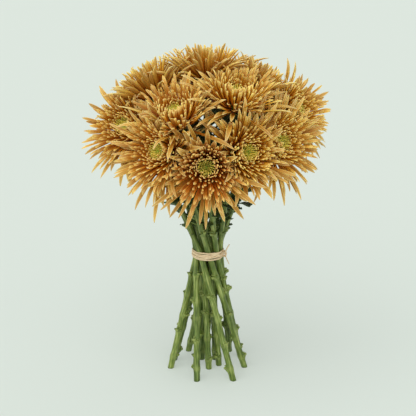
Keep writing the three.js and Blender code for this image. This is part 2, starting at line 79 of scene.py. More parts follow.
def read_head(number):
    """Where a head is, as a matrix with +Z out of the bloom, and its petals inside that space."""
    shell = joined(f"bloom_{number}_petals")
    heart = joined(f"bloom_{number}_heart")
    sockets = middle_of([v for v in shell.verts if len(v.link_faces) > CORNER_FACES])
    facing = (middle_of(heart.verts) - sockets).normalized()
    across = Vector((0, 0, 1)).cross(facing).normalized()
    place = Matrix((across, facing.cross(across), facing)).transposed().to_4x4()
    place.translation = sockets - facing * SOCKETS_FORWARD
    inside = place.inverted()
    petals = []
    for tip in shell.verts:
        if len(tip.link_faces) != TIP_FACES:
            continue
        corners = [edge.other_vert(tip) for edge in tip.link_edges]
        roots = {edge.other_vert(corner) for corner in corners for edge in corner.link_edges}
        roots = sorted(roots - {tip, *corners}, key=lambda v: v.index)
        root = inside @ middle_of(roots)
        share = (degrees_between(root, (0, 0, 1)) - INNERMOST) / (OUTERMOST - INNERMOST)
        petals.append({
            "root": np.array(root),
            "wide": np.array(inside @ middle_of(corners)),
            "tip": np.array(inside @ tip.co),
            "age": min(max(share, 0), 1),
        })
    petals.sort(key=lambda petal: petal["age"])
    rings = [petals[k:k + RING] for k in range(0, len(petals), RING)]
    for ring in rings:
        ring.sort(key=lambda petal: math.atan2(petal["root"][1], petal["root"][0]))
    shell.free()
    heart.free()
    return place, rings


heads = {number: read_head(number) for number in numbers}


# The ray petals. Each is a soft tube, a quill, that opens at its end: the young ones to a hooded
# spoon, the old ones to a long, grooved, pointed blade. They grow crowded together, so that one
# bloom never has two alike. Four forms are modelled, and each petal is a bent copy of one.
PETAL_SIDES = 8
WIDEST = 0.72  # of the way along
STRAIGHTER = 0.6  # than the frame's petals, which bend at one place
HOOKED_FROM = 0.7  # of the way along, where a tip starts to hook up or down


def points_of(piece):
    return np.array([v.co for v in piece.data.vertices])


def put_points(piece, points):
    piece.data.vertices.foreach_set("co", points.ravel())


def note(piece, **notes):
    """Keeps named numbers for each point of a piece, which its material reads."""
    mesh = piece.data
    for name, values in notes.items():
        kind = mesh.attributes.get(name) or mesh.attributes.new(name, "FLOAT", "POINT")
        values = np.broadcast_to(values, len(mesh.vertices)).astype(np.float32)
        kind.data.foreach_set("value", values)


def smooth_out():
    """Turns the faces of the piece in edit mode outwards, leaves edit mode and shades it smooth."""
    bpy.ops.mesh.select_all(action="SELECT")
    bpy.ops.mesh.normals_make_consistent(inside=False)
    bpy.ops.object.mode_set(mode="OBJECT")
    bpy.ops.object.shade_smooth()


def loft(name, sides, stations):
    """A solid along +Z. Each station is how far along it is, half its width and half its depth."""
    bpy.ops.mesh.primitive_circle_add(vertices=sides, radius=1, fill_type="NGON")
    piece = bpy.context.object
    piece.name = name
    bpy.ops.object.mode_set(mode="EDIT")
    before, width, depth = 0, 1, 1
    for station, (along, half_width, half_depth) in enumerate(stations):
        if station:
            bpy.ops.mesh.extrude_region_move()
        bpy.ops.transform.translate(value=(0, 0, along - before))
        bpy.ops.transform.resize(value=(half_width / width, half_depth / depth, 1))
        before, width, depth = along, half_width, half_depth
    smooth_out()
    piece.select_set(False)
    return piece


def model_petal(name, stations):
    """A petal that stands on its root, one long, its grooved side towards +Y. Each station is how
    far along it is and, in mm, half its width, half its thickness, and how far its edges curl."""
    stations = np.array(stations) * (1, MM, MM, MM)
    petal = loft(name, PETAL_SIDES, stations[:, :3])
    points = points_of(petal)
    alongs, widths, _, curls = stations.T
    across = points[:, 0] / np.interp(points[:, 2], alongs, widths)
    note(petal, along=points[:, 2], upper=points[:, 1] > 0, across=across)
    points[:, 1] += np.interp(points[:, 2], alongs, curls) * across ** 2
    put_points(petal, points)
    return petal


QUILL = model_petal("quill", [
    (0, 0.55, 0.55, 0), (0.35, 0.6, 0.58, 0), (0.74, 0.7, 0.6, 0), (0.86, 0.9, 0.52, 0.3),
    (0.935, 1.05, 0.45, 0.5), (0.98, 0.7, 0.38, 0.4), (1, 0.25, 0.2, 0.2)])
SPOON = model_petal("spoon", [
    (0, 0.7, 0.65, 0), (0.35, 0.78, 0.7, 0), (0.6, 0.92, 0.62, 0.3), (0.76, 1.3, 0.48, 0.9),
    (0.87, 1.4, 0.4, 1), (0.95, 0.9, 0.35, 0.6), (1, 0.22, 0.2, 0.2)])
BLADE = model_petal("blade", [
    (0, 0.8, 0.7, 0), (0.25, 0.98, 0.6, 0.4), (0.43, 1.5, 0.45, 1.2), (0.58, 2.15, 0.36, 1.8),
    (0.7, 2.4, 0.33, 1.9), (0.82, 2, 0.33, 1.4), (0.92, 1.15, 0.3, 0.7), (1, 0.18, 0.16, 0.1)])
STRAP = model_petal("strap", [
    (0, 0.8, 0.7, 0), (0.2, 1.05, 0.55, 0.6), (0.4, 1.6, 0.42, 1.5), (0.6, 2, 0.36, 1.8),
    (0.78, 1.9, 0.34, 1.4), (0.9, 1.3, 0.33, 0.7), (0.97, 0.65, 0.3, 0.35), (1, 0.28, 0.2, 0.1)])


def add(name, data):
    """A new object in the scene."""
    piece = bpy.data.objects.new(name, data)
    bpy.context.collection.objects.link(piece)
    return piece


def copy_of(model):
    """A copy of a model, with a mesh of its own."""
    copy = model.copy()
    copy.data = model.data.copy()
    bpy.context.collection.objects.link(copy)
    return copy


def unit(vectors):
    return vectors / np.linalg.norm(vectors, axis=-1, keepdims=True)


def ray_at(turn):
    """A level line, one long, at a turn from +X."""
    return np.array([math.cos(turn), math.sin(turn), 0])


def curve_through(t, start, first, second, end):
    """Places on a curve that leaves its start towards first and comes to its end from second."""
    s = 1 - t
    return s ** 3 * start + 3 * s ** 2 * t * first + 3 * s * t ** 2 * second + t ** 3 * end


def lay(model, name, petal, place, width=1, twist=0, sway=0, hook=0, flare=0.2):
    """A copy of a model, bent along its guide and put in its place on the head. flare is the share
    of its length over which it still stands square to the head."""
    copy = copy_of(model)
    copy.name = name
    points = points_of(copy)
    root, wide, tip = petal["root"], petal["wide"], petal["tip"]
    wide = wide + STRAIGHTER * (root + WIDEST * (tip - root) - wide)
    length = np.linalg.norm(tip - root)
    out = unit(np.array([root[0], root[1], 0]))
    side = np.cross([0, 0, 1], out)

    # The curve leaves the head squarely and runs through the petal's widest place.
    t = points[:, 2:3]
    s = 1 - t
    u, w = WIDEST, 1 - WIDEST
    first = root + unit(root) * flare * length
    second = (wide - w ** 3 * root - 3 * w ** 2 * u * first - u ** 3 * tip) / (3 * w * u ** 2)
    heading = s ** 2 * (first - root) + 2 * s * t * (second - first) + t ** 2 * (tip - second)
    heading = unit(heading)
    up = unit(np.cross(heading, side))
    hooked = np.clip((t - HOOKED_FROM) / (1 - HOOKED_FROM), 0, 1) ** 2
    line = curve_through(t, root, first, second, tip)
    line = line + side * sway * length * t ** 2 + up * hook * hooked

    turn = twist * t
    beside = np.cross(up, heading)
    right = beside * np.cos(turn) + up * np.sin(turn)
    up = up * np.cos(turn) - beside * np.sin(turn)
    line = line + right * points[:, 0:1] * width + up * points[:, 1:2] * width
    line = line @ np.array(place.to_3x3()).T + np.array(place.translation)
    put_points(copy, line)
    note(copy, age=petal["age"])
    return copy


def profile_of(petal):
    """A petal's root, widest place and tip: how far out from the bloom's axis each is, how far
    along it, and how far round it from the root."""
    points = np.array([petal["root"], petal["wide"], petal["tip"]])
    turns = np.arctan2(points[:, 1], points[:, 0])
    swings = (turns - turns[0] + math.pi) % math.tau - math.pi
    return np.stack([np.hypot(points[:, 0], points[:, 1]), points[:, 2], swings], axis=1)


def guide_at(rings, age, turn):
    """A guide among the frame's petals, at an age and a turn round the head."""
    ages = np.array([ring[0]["age"] for ring in rings])
    low = min(max(np.searchsorted(ages, age) - 1, 0), len(rings) - 2)
    older = (age - ages[low]) / (ages[low + 1] - ages[low])
    profile = 0
    for ring, weight in ((rings[low], 1 - older), (rings[low + 1], older)):
        turns = np.array([math.atan2(petal["root"][1], petal["root"][0]) for petal in ring])
        left = np.searchsorted(turns, turn) % len(ring) - 1
        right = (left + 1) % len(ring)
        share = ((turn - turns[left]) % math.tau) / ((turns[right] - turns[left]) % math.tau)
        profile = profile + weight * (1 - share) * profile_of(ring[left])
        profile = profile + weight * share * profile_of(ring[right])
    out, forward, swing = profile.T
    points = np.stack([out * np.cos(turn + swing), out * np.sin(turn + swing), forward], axis=1)
    return {"root": points[0], "wide": points[1], "tip": points[2], "age": age}


# Where other blooms' hearts are, as balls: how far in front of the head, and how wide, in mm. A
# petal that would hide one is shortened, step by step, down to the least share of its length.
HEART_SPACE = ((0, 11), (12, 13), (24, 16), (40, 19))
SHORTENED_BY, LEAST_SHARE = 0.1, 0.3
heart_balls = {number: [(np.array(place @ Vector((0, 0, forward * MM))), radius * MM)
                        for forward, radius in HEART_SPACE]
               for number, (place, _) in heads.items()}


def kept_clear(petal, number, share):
    """The guide shortened to a share of its length, and more where it would hide a heart."""
    place = np.array(heads[number][0])
    others = [ball for other, balls in heart_balls.items() if other != number for ball in balls]
    while share > LEAST_SHARE:
        reach = {part: petal["root"] + share * (petal[part] - petal["root"])
                 for part in ("wide", "tip")}
        points = [place[:3, :3] @ point + place[:3, 3] for point in reach.values()]
        points.append((points[0] + points[1]) / 2)
        if all(np.linalg.norm(point - centre) > radius
               for point in points for centre, radius in others):
            break
        share -= SHORTENED_BY
    return {**petal, **reach}


# Past a certain age a petal is one of the frame's own. All the others stand in a spiral, young ones
# in the middle, and the old ones among them are shorter than the frame's.
EXTRA = 240
OLDEST = 0.87
CROWDED = 1.25  # the power that their age follows, so that more of them are young
COME_OF_AGE = 0.52
YOUNG_SHARE, OLD_SHARE = (0.9, 1.06), (0.6, 1)
TOSSED = math.radians(4)  # how far a petal is turned about its root, one way or another
OUT_OF_LINE = 0.05  # radians that it stands before or behind its place in the spiral
GOLDEN_ANGLE = math.radians(137.5)


def tossed(petal, draw):
    """The guide turned a little about its root."""
    axis = Vector([draw.gauss(0, 1) for _ in range(3)])
    turn = np.array(Matrix.Rotation(draw.gauss(0, TOSSED), 3, axis))
    moved = {part: petal["root"] + turn @ (petal[part] - petal["root"]) for part in ("wide", "tip")}
    return {**petal, **moved}


def all_petals(number, draw):
    """The guides of one bloom's petals."""
    rings = heads[number][1]
    petals = [petal for ring in rings for petal in ring if petal["age"] > COME_OF_AGE]
    for k in range(EXTRA):
        age = OLDEST * ((k + 0.5) / EXTRA) ** CROWDED
        turn = (k * GOLDEN_ANGLE + draw.gauss(0, OUT_OF_LINE)) % math.tau - math.pi
        share = draw.uniform(*(YOUNG_SHARE if age < COME_OF_AGE else OLD_SHARE))
        petals.append(kept_clear(tossed(guide_at(rings, age, turn), draw), number, share))
    return petals


def join(pieces, name):
    """Joins pieces into one, named, that sits at the origin."""
    bpy.ops.object.select_all(action="DESELECT")
    for piece in pieces:
        piece.select_set(True)
    bpy.context.view_layer.objects.active = pieces[0]
    bpy.ops.object.join()
    piece = bpy.context.object
    piece.name = piece.data.name = name
    piece.select_set(False)
    return piece


# The petals' colour: red-brown in the depth of the bloom and inside the tubes, golden tan where
# they open, palest at the tips, with fine lengthwise streaks. The red-brown towards the roots is
# partly the petals' own colour and partly painted shade of the bloom's depth, and the pale tips are
# partly painted highlight. Across each petal, two darker lines are painted shade in its grooves,
# and its middle and edges carry painted highlight.
def feed(tree, made, inputs):
    """Gives a node its inputs, each a number, a colour, or another node's output."""
    for key, value in inputs.items():
        if isinstance(value, bpy.types.NodeSocket):
            tree.links.new(value, made.inputs[key])
        else:
            made.inputs[key].default_value = value


def node(tree, kind, inputs=None, **settings):
    """Adds a node."""
    made = tree.nodes.new("ShaderNode" + kind)
    for key, value in settings.items():
        setattr(made, key, value)
    feed(tree, made, inputs or {})
    return made


def reckon(tree, operation, *values):
    """The output of a sum, each value a number or another node's output."""
    return node(tree, "Math", dict(enumerate(values)), operation=operation).outputs[0]


def ramp(tree, value, stops):
    """A colour ramp through stops, each a place and a colour."""
    made = node(tree, "ValToRGB", {"Fac": value})
    elements = made.color_ramp.elements
    while len(elements) < len(stops):
        elements.new(0.5)
    for element, (place, colour) in zip(elements, stops):
        element.position = place
        element.color = (*colour, 1)
    return made.outputs["Color"]


def blend(tree, share, one, other, how="MIX"):
    """Blends two colours. A Mix node has its colours at inputs 6 and 7, and at output 2."""
    one, other = ((*c, 1) if isinstance(c, tuple) else c for c in (one, other))
    made = node(tree, "Mix", {0: share, 6: one, 7: other}, data_type="RGBA", blend_type=how)
    return made.outputs[2]


def noted(tree, name):
    return node(tree, "Attribute", attribute_name=name).outputs["Fac"]


def new_finish(name):
    """A material, its tree and its shader."""
    finish = bpy.data.materials.new(name)
    finish.use_nodes = True
    return finish, finish.node_tree, finish.node_tree.nodes["Principled BSDF"]


def plain_finish(name, inputs):
    """A material without noise or ramps."""
    finish, tree, shader = new_finish(name)
    feed(tree, shader, inputs)
    return finish


def streaked(tree, notes, scale, detail):
    """Noise in the space of three noted numbers. It changes fast across a piece, slowly along."""
    place = node(tree, "CombineXYZ", dict(zip("XYZ", [noted(tree, name) for name in notes])))
    place = node(tree, "Mapping", {"Vector": place.outputs[0], "Scale": scale}).outputs[0]
    return node(tree, "TexNoise", {"Vector": place, "Scale": 1, "Detail": detail}).outputs[0]


def patched(tree, scale, detail):
    """Noise in the space of the whole bunch."""
    place = node(tree, "TexCoord").outputs["Object"]
    return node(tree, "TexNoise", {"Vector": place, "Scale": scale, "Detail": detail}).outputs[0]


def raised(tree, height, strength, distance):
    """The normals that make a height show as low relief."""
    inputs = {"Height": height, "Strength": strength, "Distance": distance}
    return node(tree, "Bump", inputs).outputs[0]


def petal_finish():
    finish, tree, shader = new_finish("bronze petal")
    along, age, tint = noted(tree, "along"), noted(tree, "age"), noted(tree, "tint")
    # Along each petal, root to tip: the red-brown root is partly its own colour and partly painted
    # shade deep in the bloom, and the pale tip is partly painted highlight.
    young = ramp(tree, along, [(0, (0.42, 0.075, 0.003)), (0.55, (0.55, 0.15, 0.008)),
                               (0.8, (0.64, 0.25, 0.022)), (0.93, (0.95, 0.68, 0.24))])
    golden = ramp(tree, along, [(0, (0.46, 0.11, 0.003)), (0.5, (0.62, 0.24, 0.009)),
                                (0.76, (0.7, 0.39, 0.03)), (0.92, (0.95, 0.74, 0.24))])
    old = ramp(tree, along, [(0, (0.44, 0.09, 0.003)), (0.35, (0.6, 0.23, 0.01)),
                             (0.66, (0.71, 0.44, 0.085)), (1, (0.89, 0.71, 0.33))])
    young = blend(tree, noted(tree, "ripe"), golden, young)
    grown = node(tree, "MapRange", {"Value": age, "From Min": 0.5, "From Max": 0.8})
    colour = blend(tree, grown.outputs[0], young, old)
    streaks = streaked(tree, ("across", "along", "tint"), (4.5, 1.6, 40), 3)
    shade = ramp(tree, streaks, [(0.3, (0.62, 0.52, 0.45)), (0.55, (1, 1, 1)),
                                 (0.75, (1.2, 1.2, 1.15))])
    colour = blend(tree, 0.55, colour, shade, "MULTIPLY")
    # Across each petal: two darker lines of painted shade in its grooves, a little painted
    # highlight along its middle, and more painted highlight, pale and almost white, at its edges.
    beside = reckon(tree, "ABSOLUTE", noted(tree, "across"))
    groove_shade_edge_highlight = ramp(tree, beside, [(0, (1.05, 1, 0.95)), (0.3, (0.74, 0.64, 0.5)), (0.6, (1, 1, 1)),
                                  (0.95, (1.3, 1.36, 1.5))])
    colour = blend(tree, 0.85, colour, groove_shade_edge_highlight, "MULTIPLY")
    under = blend(tree, noted(tree, "upper"), (1.06, 1.06, 1.04), (0.9, 0.8, 0.64))
    colour = blend(tree, 1, colour, under, "MULTIPLY")
    warm = ramp(tree, tint, [(0, (0.78, 0.7, 0.62)), (0.5, (1, 1, 1)), (1, (1.12, 1.16, 1.1))])
    colour = blend(tree, 1, colour, warm, "MULTIPLY")
    feed(tree, shader, {
        "Base Color": colour, "Normal": raised(tree, streaks, 0.5, 0.3 * MM), "Roughness": 0.55,
        "Specular IOR Level": 0.25, "Subsurface Weight": 0.15,
        "Subsurface Radius": (1, 0.5, 0.1), "Subsurface Scale": 2 * MM})
    return finish


PETAL_FINISH = petal_finish()
RIPEST = "01"  # the lowest bloom, which is the reddest
RIPENESS = (0, 0.6)  # of all the others
YOUNGEST = ("06", "07", "12", "13", "14")  # the blooms on top, whose hearts are still curved in
FIRST_SPOON, FIRST_BLADE = 0.48, 0.7  # the ages at which a petal has these forms
BLADES = 0.6  # of the oldest petals, the rest being straps

# How like petals differ: in age, in width, in radians of twist, in the share of their length by
# which they sway aside, and in how far their tips hook up, in mm.
AGES, WIDTHS, TWIST, SWAY = (-0.05, 0.05), (0.85, 1.2), 0.25, 0.018
HOOKS, QUILL_HOOKS, CURVED_IN_HOOKS = (-1, 1), (-0.9, 0.6), (0.5, 1.8)
for model in (QUILL, SPOON, BLADE, STRAP):
    model.data.materials.append(PETAL_FINISH)


def form_for(age, draw):
    if age < FIRST_SPOON:
        return QUILL
    if age < FIRST_BLADE:
        return SPOON
    return BLADE if draw.random() < BLADES else STRAP


for number in numbers:
    place, _ = heads[number]
    draw = random.Random(int(number))
    ripe = 1 if number == RIPEST else draw.uniform(*RIPENESS)
    copies = []
    for petal in all_petals(number, draw):
        model = form_for(petal["age"] + draw.uniform(*AGES), draw)
        hook = draw.uniform(*HOOKS)
        if model is QUILL:
            hook = draw.uniform(*(CURVED_IN_HOOKS if number in YOUNGEST else QUILL_HOOKS))
        copy = lay(model, "petal", petal, place, width=draw.uniform(*WIDTHS),
                   twist=draw.gauss(0, TWIST), sway=draw.gauss(0, SWAY), hook=hook * MM)
        note(copy, tint=draw.random())
        copies.append(copy)
    bloom = join(copies, f"ray_petals_{number}")
    note(bloom, ripe=ripe)
    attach(bloom, "root")
    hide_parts(f"bloom_{number}_petals")


# The hearts. The middle of each bloom is a button of florets that haven't opened yet, thin and
# yellow-green, longer from row to row, with a dark green hollow in the very middle. They sit on
# the fleshy head that all the petals grow from, which shows between their roots.
HEAD_RADIUS = 9.3 * MM
HEAD_SEGMENTS, HEAD_RINGS = 20, 12
SEAT = 6.6 * MM  # how far forward of the head's middle they grow
STILL_ROUND = 0.1  # of its roundness, which the head keeps above the seat
FLORET_ROWS = ((22, 5, 12.8, 8.8, 1), (20, 4.4, 12, 7.2, 1), (18, 3.8, 11.2, 5.8, 1),
               (16, 3.2, 10.4, 4.4, 1), (13, 2.5, 9.7, 3.1, 0.9), (9, 1.7, 9.1, 1.9, 0.7),
               (5, 0.7, 8.6, 0.8, 0.3))  # how many, out, long, tip out, age
BELLY_OUT, BELLY_UP = 0.7, 0.75  # of the way out and up to its tip, where a floret is widest
FLORET_TURNS, FLORET_LENGTHS = (-0.2, 0.2), (0.9, 1.08)  # how they differ
FLORET_REACHES, FLORET_WIDTHS = (0.85, 1.15), (0.85, 1.15)
CURVED_IN = (0.62, 1.08)  # a young bloom's florets: how far out their tips are, how long they are
FLORET = model_petal("floret", [
    (0, 0.4, 0.4, 0), (0.4, 0.5, 0.45, 0), (0.7, 0.5, 0.42, 0.1), (0.88, 0.42, 0.35, 0.1),
    (1, 0.14, 0.14, 0)])


def heart_finish():
    finish, tree, shader = new_finish("young floret")
    along, age, tint = noted(tree, "along"), noted(tree, "age"), noted(tree, "tint")
    green = ramp(tree, along, [(0, (0.04, 0.1, 0.006)), (0.5, (0.12, 0.28, 0.012)),
                               (1, (0.36, 0.58, 0.03))])
    gold = ramp(tree, along, [(0, (0.34, 0.4, 0.012)), (0.5, (0.74, 0.7, 0.05)),
                              (1, (0.97, 0.8, 0.2))])
    colour = blend(tree, age, green, gold)
    warm = ramp(tree, tint, [(0, (0.75, 0.8, 0.7)), (1, (1.15, 1.1, 1.05))])
    colour = blend(tree, 1, colour, warm, "MULTIPLY")
    feed(tree, shader, {"Base Color": colour, "Roughness": 0.5, "Subsurface Weight": 0.1,
                        "Subsurface Scale": 1 * MM})
    return finish


HEART_FINISH = heart_finish()
FLORET.data.materials.append(HEART_FINISH)


def model_head():
    """The fleshy head: a ball, flattened on top, as green as the lower part of a young floret."""
    bpy.ops.mesh.primitive_uv_sphere_add(
        segments=HEAD_SEGMENTS, ring_count=HEAD_RINGS, radius=HEAD_RADIUS)
    head = bpy.context.object
    bpy.ops.object.shade_smooth()
    points = points_of(head)
    points[:, 2] = np.minimum(points[:, 2], SEAT + STILL_ROUND * points[:, 2])
    put_points(head, points)
    note(head, along=0.2, age=0.1, tint=0.3)
    head.data.materials.append(HEART_FINISH)
    head.select_set(False)
    return head


HEAD = model_head()
for number in numbers:
    place, _ = heads[number]
    draw = random.Random(int(number) + 100)
    ball = copy_of(HEAD)
    ball.data.transform(place)
    copies = [ball]
    for count, out, long, tip_out, age in FLORET_ROWS:
        for k in range(count):
            turn = math.tau * (k + draw.uniform(*FLORET_TURNS)) / count + out
            ray = ray_at(turn)
            high = long * draw.uniform(*FLORET_LENGTHS)
            belly = out + BELLY_OUT * (tip_out - out)
            end = tip_out * draw.uniform(*FLORET_REACHES)
            if number in YOUNGEST:
                end, high = end * CURVED_IN[0], high * CURVED_IN[1]
            guide = {
                "root": ray * out * MM + [0, 0, SEAT],
                "wide": ray * belly * MM + [0, 0, SEAT + BELLY_UP * high * MM],
                "tip": ray * end * MM + [0, 0, SEAT + high * MM],
                "age": age,
            }
            floret = lay(FLORET, "floret", guide, place, width=draw.uniform(*FLORET_WIDTHS),
                         flare=0.1)
            note(floret, tint=draw.random())
            copies.append(floret)
    heart = join(copies, f"heart_florets_{number}")
    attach(heart, "root")
    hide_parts(f"bloom_{number}_heart")


# The stems. Each is a green, faintly ridged stalk, straight below the tie and bent out above it.
# Its leaves were stripped by hand, which left a swollen ring and a torn stub at every place.
TIE_MIDDLE = 134 * MM
NECK = 11.86 * MM  # behind the middle of the head
STEP, BEND_POINTS = 2 * MM, 200
TIE_PULL, NECK_PULL = 0.08, 0.12  # how strongly a stem keeps its direction, as shares of its bend
STEM_SIDES = 15
RIDGES, RIDGE = 5, 0.05
FOOT_RADIUS, WAIST_RADIUS, NECK_RADIUS = 3.5 * MM, 3.25 * MM, 2.6 * MM
SLIM = 0.95  # of those radii, between the swellings
AT_FOOT, AT_WAIST = 0.01 * MM, 2 * MM  # how near the floor and the tie's middle those rings are
STUB_FACES = 4  # that meet at the tip of a stub
STUB_REACH = (6 * MM, 9 * MM)  # how far from the stem's middle the tip of a stub is
BARE_NECK = 9 * MM  # the top of a stem, which has no stub
LEAF_REACH = 12 * MM
SWELL, SWELL_BELOW, SWELL_SPAN = 0.17, 3 * MM, 3.4 * MM  # all round the stem, under a stub's tip
PAD, PAD_BELOW, PAD_SPAN = 1.6 * MM, 2.5 * MM, 3 * MM  # on the stub's side alone
SCAR, SCAR_SPAN = 0.6, 1.4 * MM  # how pale the ring is that the leaf left
SHADE_GROWS_OVER, SHADE_AT_TIE = 70 * MM, 0.3  # the change to the darker, duller green of the upper stem, painted shade of the blooms above
GRAIN_LENGTH = 40 * MM


def outline(name, points):
    """A closed outline, to sweep pieces with."""
    curve = bpy.data.curves.new(name, "CURVE")
    curve.dimensions = "2D"
    spline = curve.splines.new("POLY")
    spline.points.add(len(points) - 1)
    spline.points.foreach_set("co", [value for x, y in points for value in (x, y, 0, 1)])
    spline.use_cyclic_u = True
    return add(name, curve)


def sweep(name, line, radii, section, closed=False, twist_mode="MINIMUM"):
    """A piece swept along a line, as a mesh whose points go ring by ring."""
    curve = bpy.data.curves.new(name, "CURVE")
    curve.dimensions = "3D"
    curve.twist_mode = twist_mode
    curve.bevel_mode = "OBJECT"
    curve.bevel_object = section
    spline = curve.splines.new("POLY")
    spline.points.add(len(line) - 1)
    spline.points.foreach_set("co", np.c_[line, np.ones(len(line))].ravel())
    spline.points.foreach_set("radius", np.broadcast_to(radii, len(line)).astype(np.float32))
    spline.use_cyclic_u = closed
    piece = add(name, curve)
    bpy.ops.object.select_all(action="DESELECT")
    piece.select_set(True)
    bpy.context.view_layer.objects.active = piece
    bpy.ops.object.convert(target="MESH")
    bpy.ops.object.mode_set(mode="EDIT")
    bpy.ops.mesh.select_all(action="SELECT")
    bpy.ops.mesh.fill_holes(sides=0)
    smooth_out()
    piece = bpy.context.object
    piece.select_set(False)
    return piece


def square_to(vector, heading):
    """The part of a vector that is square to a heading, as a unit vector."""
    return unit(vector - np.dot(vector, heading) * heading)


def read_stem(number):
    """A stem's middle line, and where its stubs and its leaf point, from the frame."""
    place = np.array(heads[number][0])
    facing = place[:3, 2]
    neck = place[:3, 3] - facing * NECK
    shell = joined(f"stem_{number}")
    foot = np.array(middle_of([v for v in shell.verts if v.co.z < AT_FOOT]))
    waist = np.array(middle_of([v for v in shell.verts if abs(v.co.z - TIE_MIDDLE) < AT_WAIST]))
    span = np.linalg.norm(neck - waist)
    bend = curve_through(
        np.linspace(0, 1, BEND_POINTS)[:, None], waist,
        waist + unit(waist - foot) * TIE_PULL * span, neck - facing * NECK_PULL * span, neck)
    rough = np.vstack([foot, bend])
    run = np.concatenate([[0], np.cumsum(np.linalg.norm(np.diff(rough, axis=0), axis=1))])
    at = np.linspace(0, run[-1], int(run[-1] / STEP))
    line = np.stack([np.interp(at, run, values) for values in rough.T], axis=1)
    headings = unit(np.gradient(line, axis=0))
    stem = {"at": at, "line": line, "headings": headings, "waist": run[1], "stubs": []}
    farthest = LEAF_REACH
    for v in shell.verts:
        gaps = np.linalg.norm(line - v.co, axis=1)
        k = np.argmin(gaps)
        is_stub = len(v.link_faces) == STUB_FACES and STUB_REACH[0] < gaps[k] < STUB_REACH[1]
        if is_stub and at[k] < run[-1] - BARE_NECK:
            stem["stubs"].append((k, square_to(np.array(v.co) - line[k], headings[k])))
        if gaps[k] > farthest:
            farthest = gaps[k]
            stem["leaf"] = np.array(v.co)
    shell.free()
    return stem


def near(at, place, span):
    """One at a place, and less and less away from it."""
    return np.exp(-((at - place) / span) ** 2)


def shade_under_blooms(stem, at):
    """How far towards the darker, duller green of its upper end a stem is: painted shade of the
    blooms above.
    """
    return np.clip((at - stem["waist"]) / SHADE_GROWS_OVER + SHADE_AT_TIE, 0, 1)


def ridged_round():
    """A round of one radius, with the stem's faint ridges."""
    points = []
    for turn in (math.tau * k / STEM_SIDES for k in range(STEM_SIDES)):
        radius = 1 + RIDGE * math.cos(RIDGES * turn)
        points.append((radius * math.cos(turn), radius * math.sin(turn)))
    return points


stems = {number: read_stem(number) for number in numbers}
STEM_SECTION = outline("stem section", ridged_round())


def stem_finish():
    finish, tree, shader = new_finish("green stem")
    streaks = streaked(tree, ("beside", "ahead", "along"), (2.6, 2.6, 2.5), 3)
    low = ramp(tree, streaks, [(0.3, (0.06, 0.1, 0.012)), (0.5, (0.15, 0.21, 0.03)),
                               (0.7, (0.36, 0.42, 0.15))])
    high = ramp(tree, streaks, [(0.3, (0.06, 0.095, 0.017)), (0.5, (0.15, 0.195, 0.042)),
                                (0.7, (0.33, 0.37, 0.12))])
    # The high green, darker and duller, is painted shade of the blooms above the upper stem.
    colour = blend(tree, noted(tree, "upward"), low, high)
    mottle = ramp(tree, patched(tree, 60, 2), [(0.35, (0.6, 0.7, 0.48)),
                                               (0.65, (1.25, 1.22, 1.15))])
    colour = blend(tree, 1, colour, mottle, "MULTIPLY")
    colour = blend(tree, noted(tree, "scar"), colour, (0.3, 0.36, 0.09))
    feed(tree, shader, {
        "Base Color": colour, "Normal": raised(tree, streaks, 0.4, 0.4 * MM), "Roughness": 0.5,
        "Subsurface Weight": 0.08, "Subsurface Scale": 2 * MM})
    return finish


STEM_FINISH = stem_finish()
PITH_FINISH = plain_finish("cut stem end", {"Base Color": (0.42, 0.46, 0.22, 1), "Roughness": 0.7})
for number in numbers:
    stem = stems[number]
    at, line, headings = stem["at"], stem["line"], stem["headings"]
    radii = np.interp(at, (0, stem["waist"], at[-1]), (FOOT_RADIUS, WAIST_RADIUS, NECK_RADIUS))
    swellings = [at[k] - SWELL_BELOW for k, _ in stem["stubs"]]
    swell = sum(near(at, place, SWELL_SPAN) for place in swellings)
    stalk = sweep("stalk", line, radii * (SLIM + SWELL * swell), STEM_SECTION)
    points = points_of(stalk).reshape(len(at), STEM_SIDES, 3)
    for k, out in stem["stubs"]:
        padded = near(at, at[k] - PAD_BELOW, PAD_SPAN)[:, None]
        facing = np.clip((points - line[:, None]) @ out / radii[:, None], 0, 1) ** 2
        points += (padded * facing)[:, :, None] * out * PAD
    points[0] -= headings[0] * (points[0][:, 2:3] / headings[0][2])  # cut level
    put_points(stalk, points)
    turns = math.tau * np.arange(STEM_SIDES) / STEM_SIDES
    ring = sum(near(at, place, SCAR_SPAN) for place in swellings)
    # upward carries the painted shade of the blooms above.
    note(stalk, beside=np.tile(np.cos(turns), len(at)), ahead=np.tile(np.sin(turns), len(at)),
         along=np.repeat(at / GRAIN_LENGTH + int(number) * 7, STEM_SIDES),
         scar=np.repeat(np.clip(SCAR * ring, 0, SCAR), STEM_SIDES),
         upward=np.repeat(shade_under_blooms(stem, at), STEM_SIDES))
    stalk.data.materials.append(STEM_FINISH)
    stalk.data.materials.append(PITH_FINISH)
    for face in stalk.data.polygons:
        face.material_index = int(len(face.vertices) > 4)  # the two ends
    stalk.name = stalk.data.name = f"stem_stalk_{number}"
    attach(stalk, "root")
    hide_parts(f"stem_{number}")


